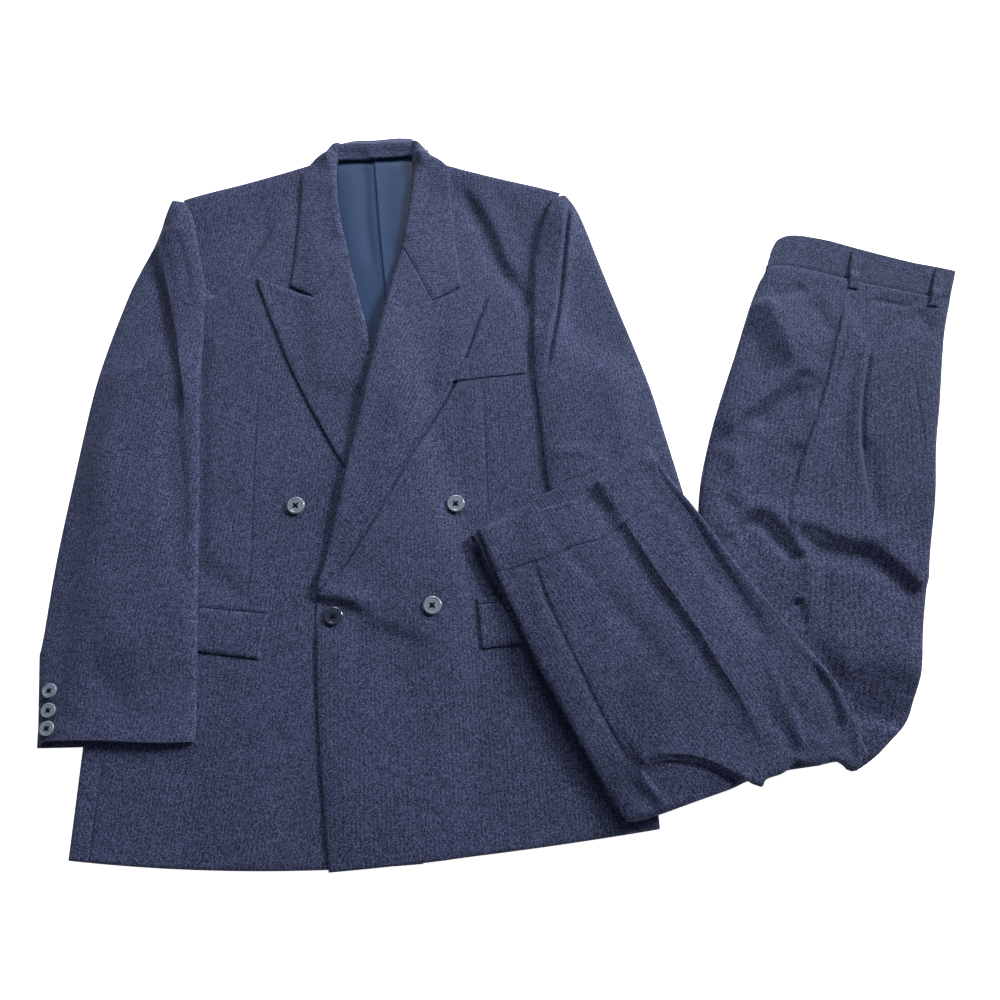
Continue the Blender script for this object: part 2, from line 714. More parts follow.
def cloth(
    name, rows, bed, grain, wall=2.0, loft=2.5, reach=(12, 12, 12, 12), creases=(), swells=(), notch=None,
    settle=6.0, wave=1.0, seed=1, cell=CELL, finish_with=wool, rings=EDGE_RINGS, head=None, foot=None,
):
    """Lays one piece on the heap called bed. Its reach is given for the left, right, head and foot edge."""
    plan, near = cut(rows, cell, creases, notch, head, foot)
    low = bed.settled(plan, settle)
    share = np.min(rounded(near, np.array(reach, float)), axis=-1)
    uneven = unevenness(plan, near.min(axis=-1), BROAD_WAVES, wave, seed)
    lift = wall + loft * share + raised(plan, creases, swells) + uneven
    face = low + np.maximum(lift, THINNEST)
    underside = np.maximum(face - wall, low + BED_GAP)
    obj = between(name, plan, underside, face, rings, grain, finish_with)
    print(name, "grid", plan.shape[:2], "height", np.round([face.min(), face.max()], 1))
    return Laid(obj, plan, np.dstack([plan, face]))


def dress(laid, node, around=1, turned_in=0.0):
    """Declares a laid cloth: what it rides on, stands for and rests on, and the size that it was cut to.

    A tube is counted all the way around, and turned_in is what a seam hides of a narrow strip's length.
    """
    grid = laid.plan
    wide = np.linalg.norm(np.diff(grid, axis=1), axis=2).sum(axis=1).max() * MM * around
    long = np.linalg.norm(np.diff(grid, axis=0), axis=2).sum(axis=0).max() * MM
    one, other = grid[1:, 1:] - grid[:-1, :-1], grid[1:, :-1] - grid[:-1, 1:]
    area = float(np.abs(one[..., 0] * other[..., 1] - one[..., 1] * other[..., 0]).sum()) / 2 * MM**2 * around
    long, area = long + turned_in * MM, area + turned_in * MM * wide
    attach(laid.obj, "root")
    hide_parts(node)
    wide, long, area = math.ceil(wide * 1000) / 1000, math.ceil(long * 1000) / 1000, round(area, 6)
    print(laid.obj.name, "flat", wide, "x", long, "area", area)


# %% [markdown]
# ## The jacket's back
#
# The back panel lies face down on the table, and only its edge shows, round the neck and along the sides. It
# is laid first, because everything else of the jacket rests on it.

# %% Jacket back
BACK_ROWS = (
    Row(-283, 397, -119, 406, 2, 1),
    Row(-365, 374, -38, 384),
    Row(-443, 343, 39, 355, 0, 1),
    Row(-430, 304, 22, 314),
    Row(-415, 256, 9, 270),
    Row(-403, 202, 4, 220),
    Row(-402, 150, 6, 150),
    Row(-428, 108, 30, 108),
    Row(-478, 84, 88, 84, 0, 1),
    Row(-478, 5, 93, 5),
    Row(-476, -80, 100, -80),
    Row(-475, -190, 108, -190),
    Row(-471, -330, 119, -318),
    Row(-468, -427, 123, -400, 7, 1),
)
heap = Heap()
back = cloth("back_cloth", BACK_ROWS, heap, Grain(-180, 400, 0), loft=0.0, wave=0.0, cell=8.5)
dress(back, "jacket_back")
heap.lay(back.face)

# %% [markdown]
# ## The lining in the neck
#
# The satin lining shows only in the opening of the jacket. A pleat runs down its middle, to leave room for
# the shoulders to move, and soft folds hang beside it. The pleat is a crease with a steep lip on one side.

# %% Back lining
LINING_ROWS = (
    Row(-272, 428, -134, 432, 2, 1),
    Row(-270, 400, -136, 403),
    Row(-264, 350, -140, 350),
    Row(-258, 300, -145, 300),
    Row(-250, 240, -152, 240),
    Row(-240, 180, -162, 180),
    Row(-228, 110, -172, 110, 0, 1),
)
LINING_CREASES = (
    Crease(((-204, 420), (-190, 296), (-179, 208), (-176, 120)), 9.0, 1.2, 1.6, 0.02, 0.1, True, True),
    Crease(((-219, 412), (-213, 380), (-211, 340), (-203, 280), (-190, 225)), 5.0, 8.0, -1.2, 0.1, 0.3),
    Crease(((-236, 405), (-232, 350), (-224, 290), (-208, 225)), 9.0, 12.0, 0.7, 0.1, 0.3),
    Crease(((-172, 410), (-168, 330), (-170, 240)), 10.0, 9.0, 0.7, 0.1, 0.3),
    Crease(((-256, 390), (-246, 320), (-232, 250)), 7.0, 8.0, -0.8, 0.1, 0.3),
)
lining = cloth(
    "lining_cloth", LINING_ROWS, heap, Grain(-200, 400, 4), wall=1.0, loft=1.6, reach=(8, 8, 4, 8),
    creases=LINING_CREASES, wave=0.4, seed=3, cell=3.8, finish_with=satin,
)
dress(lining, "back_lining")
heap.lay(lining.face)
collar_bed = heap.copy()

# %% [markdown]
# ## The front underneath
#
# The wearer's right front goes down first, because a man's jacket closes left over right. It is cut from the
# shoulder to the hem, and its side folds under towards the back. The waist dart is a fine sewn trough, and a
# soft hollow runs from the shoulder towards the armhole, where the chest padding ends.

# %% Right front
FRONT_RIGHT_ROWS = (
    Row(-443, 343, -262, 408, 0, 1),
    Row(-430, 304, -249, 355),
    Row(-419, 256, -240, 307),
    Row(-408, 202, -224, 246),
    Row(-406, 151, -210, 196),
    Row(-424, 108, -197, 151),
    Row(-478, 84, -184, 105, 0, 1),
    Row(-478, 5, -159, 18),
    Row(-476, -79, -131, -67),
    Row(-475, -170, -100, -161, 0, 1),
    Row(-472, -255, -100, -255),
    Row(-470, -345, -104, -345),
    Row(-468, -430, -115, -433, 8, 1),
)
SHOULDER_SWELLS = (
    Swell(-415, 322, 50, 45, 5.0),
    Swell(10, 330, 50, 45, 5.0),
    Swell(-330, 190, 70, 110, 2.5),
    Swell(-75, 170, 70, 110, 2.5),
)
SHOULDER_PADS = (
    Crease(((-450, 337), (-350, 373), (-255, 410)), 30, 34, 5.5, 0, 0.25),
    Crease(((-140, 417), (-50, 381), (46, 347)), 34, 30, 5.5, 0.25, 0),
)
FRONT_RIGHT_CREASES = SHOULDER_PADS[:1] + (
    Crease(((-326, 84), (-321, -20), (-315, -125), (-314, -174)), 1.3, 4, -0.8, 0.12, 0.02, True),
    Crease(((-322, 325), (-330, 308), (-338, 290), (-346, 270), (-356, 250), (-368, 234), (-383, 218),
            (-401, 203)), 5, 10, -4.4, 0.25, 0.08),
    Crease(((-310, 330), (-318, 300), (-332, 262), (-352, 228), (-380, 196)), 14, 10, 2.0, 0.3, 0.3),
    Crease(((-399, 160), (-396, 111), (-391, 60), (-384, 0), (-376, -81), (-367, -171)),
           9, 12, -3.0, 0.1, 0.1),
    Crease(((-373, -122), (-354, -143), (-335, -159), (-320, -175)), 12, 12, -2.4, 0.3, 0.2),
    Crease(((-447, -329), (-448, -384), (-447, -440)), 1.5, 1.5, -1.0, 0.1, 0, True),
    Crease(((-300, -240), (-290, -330), (-296, -425)), 26, 30, 1.6, 0.4, 0.3),
    Crease(((-350, -250), (-360, -330), (-355, -420)), 22, 26, -1.2, 0.4, 0.3),
    Crease(((-440, -40), (-380, -60), (-300, -52)), 20, 20, -1.0, 0.4, 0.4),
)
front_right = cloth(
    "front_right_cloth", FRONT_RIGHT_ROWS, heap, Grain(-320, 340, 5), wall=1.4, loft=3.0, reach=(7, 12, 5, 4),
    creases=FRONT_RIGHT_CREASES, swells=SHOULDER_SWELLS, seed=11, settle=18.0,
)
dress(front_right, "front_right")
heap.lay(front_right.face)
collar_bed.lay(front_right.face)

# %% [markdown]
# ## Lapels
#
# A peak lapel is the front's own edge, turned back over the chest along the roll line. Its head follows the
# gorge seam down to the notch and then runs out to the peak, so its rows bend there. The roll is soft and
# full, while the outer edge was pressed thin. So the loft rises slowly from the roll and at once from the
# edge.

# %% Right lapel
LAPEL_RIGHT_NOTCH = 0.521
LAPEL_RIGHT_ROWS = (
    Row(-339, 230, -229, 265, 48.5, 1),
    Row(-336, 219, -225, 250, 50, 1),
    Row(-325, 190, -217, 216, 34),
    Row(-311, 158, -206, 180, 22),
    Row(-281, 93, -188, 110, 8),
    Row(-237, 16, -162, 20),
    Row(-212, -22, -150, -22),
    Row(-158, -96, -130, -88),
    Row(-108, -152, -104, -150, 0, 1),
)
LAPEL_RIGHT_CREASES = (
    Crease(((-292, 222), (-262, 150), (-215, 50), (-170, -40)), 30, 30, 1.2, 0.2, 0.3),
    Crease(((-222, 240), (-205, 165), (-183, 90), (-155, 5), (-128, -75)), 5, 9, 1.6, 0.05, 0.3),
)
lapel_right = cloth(
    "lapel_right_cloth", LAPEL_RIGHT_ROWS, heap, Grain(-280, 200, -27), wall=0.7, loft=1.5,
    reach=(7, 10, 6, 6), creases=LAPEL_RIGHT_CREASES, notch=LAPEL_RIGHT_NOTCH, seed=12, cell=2.8, wave=0.5,
)
dress(lapel_right, "lapel_right")
heap.lay(lapel_right.face)

# %% [markdown]
# ## The front on top
#
# The wearer's left front closes over the right one, so it is the next piece on the heap, and the right lapel
# shows through it as a soft step. Its free edge runs from the end of the lapel down to the hem. The fastened
# button pulls at that edge, which leaves short folds above it.

# %% Left front
FRONT_LEFT_ROWS = (
    Row(-144, 411, 39, 355, 0, 1),
    Row(-152, 355, 23, 322),
    Row(-160, 296, 14, 278),
    Row(-172, 237, 9, 223),
    Row(-181, 181, 11, 174),
    Row(-192, 120, 26, 113),
    Row(-201, 65, 88, 84, 0, 1),
    Row(-211, 5, 92, 5),
    Row(-222, -68, 99, -79),
    Row(-238, -163, 106, -170, 0, 1),
    Row(-234, -240, 111, -255),
    Row(-224, -330, 119, -335),
    Row(-207, -440, 123, -401, 3, 1),
)
FRONT_LEFT_CREASES = SHOULDER_PADS[1:] + (
    Crease(((-59, 88), (-56, 43), (-52, -77)), 1.3, 4, -0.8, 0.12, 0.15, True),
    Crease(((-101, 384), (-76, 338), (-57, 298), (-46, 262), (-28, 231), (-13, 213), (4, 180)),
           10, 13, -4.0, 0.3, 0.1),
    Crease(((-84, 378), (-58, 335), (-38, 292), (-26, 255), (-6, 222)), 16, 8, 2.6, 0.25, 0.3),
    Crease(((-237, -164), (-219, -165), (-203, -168), (-188, -174), (-172, -184)), 15, 7, 3.8, 0.0, 0.4),
    Crease(((-236, -177), (-219, -180), (-204, -183), (-190, -189), (-175, -198)), 9, 20, -3.6, 0.0, 0.5),
    Crease(((-200, -194), (-168, -192), (-135, -197), (-102, -208)), 20, 16, 1.4, 0.3, 0.3),
    Crease(((-205, -205), (-178, -212), (-148, -220), (-112, -230)), 20, 40, -5.5, 0.3, 0.35),
    Crease(((-52, 204), (-57, 193), (-65, 170), (-83, 113), (-100, 73), (-139, 2), (-177, -74), (-206, -125),
            (-228, -159)), 2.0, 2.6, -2.9, 0.02, 0.05, True),
    Crease(((-150, -255), (-156, -330), (-158, -420)), 30, 34, 1.6, 0.4, 0.3),
    Crease(((-90, -240), (-70, -300), (-60, -390)), 24, 24, -1.4, 0.4, 0.3),
)
front_left = cloth(
    "front_left_cloth", FRONT_LEFT_ROWS, heap, Grain(-80, 340, -4), wall=1.0, loft=2.6, reach=(14, 7, 5, 4),
    creases=FRONT_LEFT_CREASES, swells=SHOULDER_SWELLS, seed=21, settle=24.0,
)
dress(front_left, "front_left")
heap.lay(front_left.face)
collar_bed.lay(front_left.face)

# %% [markdown]
# ## Breast welt and left lapel
#
# The breast pocket has one welt, a narrow strip sewn on at its lower edge and its ends, so those stand up a
# little. The left lapel is made as the right one was.

# %% Breast welt
BREAST_WELT_ROWS = (Row(-96, 119, -6, 130, 0, 1), Row(-106, 90.5, -6, 103, 0, 1))
welt = cloth(
    "breast_welt_cloth", BREAST_WELT_ROWS, heap, Grain(-60, 120, -8), wall=0.5, loft=0.2,
    reach=(3, 2, 2, 1.5), wave=0.0, seed=22, cell=2.5, settle=4.0,
)
dress(welt, "breast_welt")
heap.lay(welt.face)

# %% Left lapel
LAPEL_LEFT_NOTCH = 0.568
LAPEL_LEFT_ROWS = (
    Row(-160, 276, -52, 229, 56, 1),
    Row(-164, 260, -54, 217, 57, 1),
    Row(-170, 232, -59, 195, 44),
    Row(-178, 195, -67, 171, 30),
    Row(-188, 135, -85, 115, 12),
    Row(-196, 85, -102, 75, 3),
    Row(-210, 3, -142, 3),
    Row(-221, -69, -180, -73),
    Row(-230, -121, -209, -124),
    Row(-237, -160, -234, -160, 0, 1),
)
LAPEL_LEFT_CREASES = (
    Crease(((-108, 205), (-128, 120), (-165, 0), (-200, -90)), 26, 26, 1.2, 0.2, 0.3),
    Crease(((-166, 240), (-178, 165), (-192, 80), (-208, -10), (-222, -90)), 9, 5, 1.6, 0.05, 0.2),
)
lapel_left = cloth(
    "lapel_left_cloth", LAPEL_LEFT_ROWS, heap, Grain(-100, 200, 21), wall=0.7, loft=1.4, reach=(9, 7, 6, 4),
    creases=LAPEL_LEFT_CREASES, notch=LAPEL_LEFT_NOTCH, seed=23, cell=2.8, wave=0.5,
)
dress(lapel_left, "lapel_left")

# %% [markdown]
# ## The collar
#
# A collar is a band that stands up round the neck and a leaf that falls over it. On the laid jacket the band
# shows behind the neck, where it rises to the fold, and the leaf shows on each side, down to the gorge. One
# cut would have to turn round the whole neck, so the band and the two ends of the leaf are three laid pieces
# that meet at the roll.

# %% Collar band
COLLAR_BAND_ROWS = (
    Row(-258, 410, -250, 440, 0, 1),
    Row(-243, 410, -238, 444),
    Row(-228, 411, -226, 446),
    Row(-203, 412, -203, 447),
    Row(-176, 415, -177, 450),
    Row(-151, 417, -156, 450, 0, 1),
)
COLLAR_FOLD = ((-256, 428), (-229, 433), (-205, 433), (-176, 436), (-152, 434))
COLLAR_BAND_CREASES = (Crease(COLLAR_FOLD, 9, 17, 8.0, 0, 0),)
collar_band = cloth(
    "collar_band_cloth", COLLAR_BAND_ROWS, collar_bed, Grain(-200, 420, -2, 0, True), wall=1.0, loft=0.6,
    reach=(3, 3, 3, 3), creases=COLLAR_BAND_CREASES, seed=31, cell=2.2, wave=0.0, settle=4.0,
)
dress(collar_band, "collar")

# %% Collar leaf, one end on each side of the neck
LEAF_RIGHT_ROWS = (
    Row(-267, 203, -228, 264, 0, 1),
    Row(-298, 220, -231, 276, 0, 1),
    Row(-295, 255, -240, 311),
    Row(-294, 293, -247, 352),
    Row(-294, 340, -250, 383),
    Row(-293, 384, -251, 403, 0, 1),
    Row(-285, 396, -250, 414),
    Row(-273, 412, -249, 424),
    Row(-258, 432, -248, 436, 0, 1),
)
LEAF_LEFT_ROWS = (
    Row(-161, 276, -121, 198, 0, 1),
    Row(-160, 288, -86, 220, 0, 1),
    Row(-156, 315, -91, 255),
    Row(-153, 352, -96, 293),
    Row(-152, 378, -101, 345),
    Row(-152, 402, -104, 394, 0, 1),
    Row(-153, 413, -116, 406),
    Row(-154, 424, -132, 421),
    Row(-157, 440, -147, 438, 0, 1),
)
LEAF_RIGHT_CREASES = (
    Crease(((-236, 280), (-245, 330), (-254, 385), (-259, 420), (-254, 440)), 12, 6, 2.4, 0.1, 0),
    Crease(((-262, 385), (-262, 410), (-252, 432)), 14, 10, 7.0, 0.6, 0),
    Crease(((-275, 240), (-270, 300), (-276, 350)), 18, 18, 0.9, 0.3, 0.3),
)
LEAF_LEFT_CREASES = (
    Crease(((-158, 280), (-152, 330), (-146, 385), (-143, 420), (-150, 440)), 6, 12, 2.4, 0.1, 0),
    Crease(((-140, 385), (-140, 410), (-154, 434)), 10, 14, 7.0, 0.6, 0),
    Crease(((-118, 240), (-122, 300), (-118, 350)), 18, 18, 0.9, 0.3, 0.3),
)
leaf_right = cloth(
    "collar_leaf_right_cloth", LEAF_RIGHT_ROWS, collar_bed, Grain(-270, 300, 3, 0, True), wall=0.8, loft=1.9,
    reach=(6, 10, 7, 4), creases=LEAF_RIGHT_CREASES, seed=32, cell=2.6, wave=0.3, settle=5.0,
)
dress(leaf_right, "collar")
leaf_left = cloth(
    "collar_leaf_left_cloth", LEAF_LEFT_ROWS, collar_bed, Grain(-120, 300, -3, 0, True), wall=0.8, loft=1.9,
    reach=(10, 6, 7, 4), creases=LEAF_LEFT_CREASES, seed=33, cell=2.6, wave=0.3, settle=5.0,
)
dress(leaf_left, "collar")
for laid in (lapel_left, collar_band, leaf_right, leaf_left):
    heap.lay(laid.face)

# %% [markdown]
# ## Pockets
#
# Each hip pocket is a slit. A thin jet edges its upper side, and a flap hangs over it. The flap was pressed
# many times, so it lies flat with one sharp edge.

# %% Pockets
JET_RIGHT_ROWS = (Row(-445, -163, -290, -179, 0, 1), Row(-445, -170, -290, -185, 0, 1))
FLAP_RIGHT_ROWS = (Row(-445, -170.5, -290, -185.5, 0, 1), Row(-437, -216, -295, -233, 0, 1))
JET_LEFT_ROWS = (Row(-63, -169, 85, -153, 0, 1), Row(-62, -175, 85, -159, 0, 1))
FLAP_LEFT_ROWS = (Row(-62, -175.5, 85, -159.5, 0, 1), Row(-57, -222, 85, -206, 0, 1))
JET_TURNED_IN = 4.0
FLAP_CREASES = (
    Crease(((-445, -170), (-290, -185)), 3, 3, -0.8, 0, 0),
    Crease(((-63, -175), (85, -159)), 3, 3, -0.8, 0, 0),
    Crease(((-430, -204), (-300, -220)), 10, 10, 0.8, 0.2, 0.2),
    Crease(((-50, -210), (85, -195)), 10, 10, 0.8, 0.2, 0),
)
bare = heap.copy()
for side, jet_rows, flap_rows in (
    ("right", JET_RIGHT_ROWS, FLAP_RIGHT_ROWS),
    ("left", JET_LEFT_ROWS, FLAP_LEFT_ROWS),
):
    grain = Grain(flap_rows[0].left_x, -170, 6 if side == "right" else -6)
    jet = cloth(
        "jet_" + side + "_cloth", jet_rows, bare, grain, wall=0.9, loft=0.5, reach=(3, 3, 1.5, 1.5),
        wave=0.0, cell=2.0, settle=4.0,
    )
    flap = cloth(
        "flap_" + side + "_cloth", flap_rows, bare, grain, wall=1.5, loft=1.0, reach=(2.5, 2.5, 4, 2),
        creases=FLAP_CREASES, wave=0.4, seed=41, cell=2.6, settle=4.0,
    )
    dress(jet, "pocket_jet_" + side, turned_in=JET_TURNED_IN)
    dress(flap, "pocket_flap_" + side)
    heap.lay(jet.face)
    heap.lay(flap.face)

# %% [markdown]
# ## Sleeves
#
# A sleeve is a tube that has been flattened. Its grid runs over the top from the left fold to the right one
# and back underneath, and the two ends meet in a seam that is welded. An extrusion of the whole tube gives
# the inner wall, so that the cuff stays open and its hollow falls dark. The head of the sleeve is pinched
# flat, because there it is sewn into the armhole.

# %% Sleeve helper
SLEEVE_WALL = 1.0
SLEEVE_FOLD = 4.5
SLEEVE_HEAD = 16.0
SLEEVE_SIDE = 26.0
SLEEVE_SETTLE = 22.0
SLEEVE_WAVE = 0.9
SLEEVE_WAVES = 75.0
FOLD_HEIGHT = 0.45  # where a side's fold lies, as a share of the tube's height
LIFT_REACH = 30.0
DRAWN_REACH = 40.0
DRAWN_SIDE = 8.0
DRAWN_SHARES = (0.25, 0.95)  # of the cuff's width, between which the drawing back dies out
INNER_INSET = 1.6
INNER_GAP = 0.1
HEAD_CLOSES = 4.0
WELD = 0.00001


def folded_back(values):
    """A grid's values followed by the same ones in reverse, for the underside of a tube."""
    return np.concatenate([values, values[:, -2::-1]], axis=1)


def tube(name, rows, bed, grain, loft, creases, swells, seed, cuff_lift=0.0, drawn_back=0.0):
    """Lays a flattened tube on the heap called bed. It is closed at its head and open at its foot.

    The top layer's foot is drawn back from the lower one's by drawn_back, most at the left.
    """
    plan, near = cut(rows, CELL, creases)
    columns, count = plan.shape[1] - 1, plan.shape[0] - 1
    low = bed.settled(plan, SLEEVE_SETTLE)
    sides = np.min(near[..., :2], axis=-1)
    head, foot = near[..., 2], near[..., 3]
    uneven = unevenness(plan, sides, SLEEVE_WAVES, SLEEVE_WAVE, seed)
    full = 2 * SLEEVE_WALL + loft * rounded(head, SLEEVE_HEAD) * rounded(sides, SLEEVE_SIDE)
    full = full + raised(plan, creases, swells) + uneven + cuff_lift * ease(1 - foot / LIFT_REACH)
    round_side = rounded(sides, SLEEVE_FOLD)
    top = low + np.maximum(full, 2 * SLEEVE_WALL + THINNEST)
    middle = low + (top - low) * FOLD_HEIGHT
    upper = middle + (top - middle) * round_side
    lower = middle + (low - middle) * round_side
    across = near[..., 0] / (near[..., 0] + near[..., 1])
    none_left, all_left = DRAWN_SHARES
    drawn = drawn_back * ease(1 - foot / DRAWN_REACH) * ease((all_left - across) / (all_left - none_left))
    shown = plan.copy()
    shown[..., 1] += drawn * ease(near[..., 0] / DRAWN_SIDE)
    around = np.concatenate([shown, plan[:, -2::-1]], axis=1)
    heights = np.concatenate([upper, lower[:, -2::-1]], axis=1)
    centre = folded_back(middle)
    bm = extruded_grid(2 * columns, count, 1)
    row, column, ring = grid_places(bm, 2 * columns, count)
    centres = plan.mean(axis=1, keepdims=True)
    half = np.linalg.norm(plan[:, -1] - plan[:, 0], axis=1)[:, None, None] / 2
    inner_plan = centres + (around - centres) * (1 - INNER_INSET * SLEEVE_WALL / half)
    gap = heights - centre
    inner = centre + np.sign(gap) * np.maximum(np.abs(gap) - SLEEVE_WALL, INNER_GAP)
    head_in = ease(folded_back(head) / HEAD_CLOSES)
    inner_plan[..., 1] -= (1 - head_in) * SLEEVE_WALL
    flat = np.where(ring[:, None] == 0, around[row, column], inner_plan[row, column])
    points = np.column_stack([flat, np.where(ring == 0, heights[row, column], inner[row, column])])
    weave = weave_map(around, grain)
    weave[:, columns:, 0] = 2 * weave[:, columns : columns + 1, 0] - weave[:, columns:, 0]
    sleeve = finished(name, bm, points, weave[row, column], wool)
    welded = bmesh.new()
    welded.from_mesh(sleeve.data)
    bmesh.ops.remove_doubles(welded, verts=welded.verts, dist=WELD)
    bmesh.ops.recalc_face_normals(welded, faces=welded.faces[:])
    welded.to_mesh(sleeve.data)
    welded.free()
    print(name, "grid", around.shape[:2], "height", np.round([top.min(), top.max()], 1))
    return Laid(sleeve, plan, np.dstack([plan, top]))


# %% [markdown]
# The right sleeve lies free beside the jacket and shows its whole length, down to the cuff with its three
# buttons. The left one lies over the jacket's side, and the trousers cover its cuff.

# %% Sleeves
SLEEVE_RIGHT_ROWS = (
    Row(-456, 338, -436, 334, 0, 1),
    Row(-464, 313, -423, 305),
    Row(-490, 244, -412, 256),
    Row(-504, 192, -399, 202),
    Row(-521, 94, -394, 105),
    Row(-529, -32, -382, -20),
    Row(-533, -125, -371, -125),
    Row(-533, -208, -361, -212),
    Row(-534, -229, -359, -234, 0, 1),
    Row(-519, -324, -352, -317, 1, 1),
)
SLEEVE_LEFT_ROWS = (
    Row(30, 343, 46, 347, 0, 1),
    Row(19, 316, 68, 316),
    Row(6, 266, 86, 262),
    Row(2, 202, 105, 202),
    Row(2, 105, 139, 96),
    Row(9, 30, 155, 30),
    Row(16, -40, 171, -40),
    Row(30, -125, 190, -122),
    Row(52, -224, 212, -222),
    Row(68, -300, 228, -304, 1, 1),
)
SLEEVE_SWELLS = (
    Swell(-452, 290, 30, 60, 4.0),
    Swell(50, 290, 30, 60, 4.0),
)
SLEEVE_RIGHT_CREASES = (
    Crease(((-464, 302), (-462, 276), (-457, 247), (-449, 219), (-442, 198), (-434, 170), (-425, 143),
            (-419, 116), (-413, 93), (-409, 71), (-406, 39)), 20, 4.5, 5.5, 0.06, 0.2, True, True),
    Crease(((-470, 276), (-466, 247), (-457, 212), (-447, 177), (-437, 150), (-429, 123), (-424, 95)),
           5, 12, -2.4, 0.1, 0.2),
    Crease(((-422, 96), (-419, 52), (-415, 14), (-405, -34), (-398, -81), (-392, -125)),
           9, 16, -4.0, 0.2, 0.3),
    Crease(((-449, 298), (-439, 276), (-431, 251), (-424, 226), (-421, 195)), 5, 7, -1.8, 0.2, 0.3),
    Crease(((-500, 120), (-494, 0), (-490, -120)), 24, 30, 2.0, 0.3, 0.4),
    Crease(((-392, -46), (-394, -81), (-394, -115), (-384, -149), (-371, -171)), 10, 14, -2.0, 0.3, 0.3),
    Crease(((-474, -243), (-447, -266), (-417, -291)), 14, 14, -2.0, 0.3, 0.3),
    Crease(((-480, -210), (-440, -215), (-400, -235)), 24, 16, 1.4, 0.3, 0.3),
)
SLEEVE_LEFT_CREASES = (
    Crease(((51, 331), (47, 304), (44, 275), (41, 246), (38, 218), (34, 191), (30, 166), (25, 141),
            (20, 115), (16, 93)), 2.0, 3.2, -3.2, 0.1, 0.2, True),
    Crease(((56, 331), (52, 304), (49, 275), (46, 246), (43, 218), (39, 191), (35, 166), (30, 141),
            (25, 115), (21, 93)), 5, 3.5, 2.4, 0.1, 0.2),
    Crease(((45, 331), (41, 304), (38, 275), (35, 246), (32, 218), (28, 191), (24, 166), (19, 141),
            (14, 115), (10, 93)), 3.5, 7, 2.4, 0.1, 0.2),
    Crease(((7, 163), (16, 173), (26, 185), (22, 195)), 4, 4, -2.6, 0.2, 0.3),
    Crease(((17, -3), (49, 1), (77, -6)), 9, 7, 2.2, 0.2, 0.4),
    Crease(((30, -28), (62, -22), (95, -10)), 12, 8, 2.4, 0.3, 0.3),
    Crease(((90, 160), (108, 60), (120, -40)), 22, 22, 2.0, 0.3, 0.3),
)
sleeve_right = tube(
    "sleeve_right_cloth", SLEEVE_RIGHT_ROWS, heap, Grain(-450, 300, 7), 4.0, SLEEVE_RIGHT_CREASES,
    SLEEVE_SWELLS, 51, cuff_lift=2.5, drawn_back=7.0,
)
sleeve_left = tube(
    "sleeve_left_cloth", SLEEVE_LEFT_ROWS, heap, Grain(50, 300, -8), 4.0, SLEEVE_LEFT_CREASES,
    SLEEVE_SWELLS, 52,
)
dress(sleeve_right, "sleeve_right", around=2)
dress(sleeve_left, "sleeve_left", around=2)
heap.lay(sleeve_right.face)
heap.lay(sleeve_left.face)

# %% [markdown]
# ## Buttons
#
# A button is turned: a rounded edge, a raised rim, a groove and a dished middle, with four drilled holes. A
# square grid can be bent into a disc so that each square ring of the grid becomes a circle. Then every ring
# takes its own radius and height, as on a lathe, and four faces near the middle are sunk to make the holes.

# %% Button helper
BUTTON_RADIUS = 10.0
SLEEVE_BUTTON_RADIUS = 7.5
BUTTON_THICKNESS = 3.0
SHANK = 0.25
LATHE = (  # radius and height of each ring, as shares of the radius and the thickness
    (0.0, 0.74),
    (0.15, 0.74),
    (0.38, 0.75),
    (0.52, 0.78),
    (0.64, 0.84),
    (0.70, 0.76),
    (0.75, 0.84),
    (0.84, 0.94),
    (0.93, 0.88),
    (1.0, 0.66),
)
HOLE_RING = 1.5
HOLE_MARGIN = 0.22
HOLE_DEPTH = 1.4
HOLE_TAPER = 0.1
UNDERSIDE = ((0.99, 0.35), (0.90, 0.0))  # in the same shares as the lathe's rings
SEAT_SHARE = 0.6
SEAT_REACH = 2.0
THREAD_HEIGHT = 0.78
STRAND = (0.42, 0.95, 0.7)  # half its length as a share of the button's radius, half its width and height
STRAND_ASIDE = 0.35
STRAND_RISE = 0.1
SHARP_ANGLE = 0.8


def turned(angle, out, up):
    """A point of the lathe, from its angle, its distance from the middle and its height."""
    return out * math.cos(angle), out * math.sin(angle), up


def put_down(bm, x, y, height):
    """Moves a bmesh in millimetres to its place on the plan and turns it to metres."""
    bmesh.ops.translate(bm, verts=bm.verts, vec=(x - MIDDLE[0], y - MIDDLE[1], height))
    bmesh.ops.scale(bm, verts=bm.verts, vec=(MM, MM, MM))


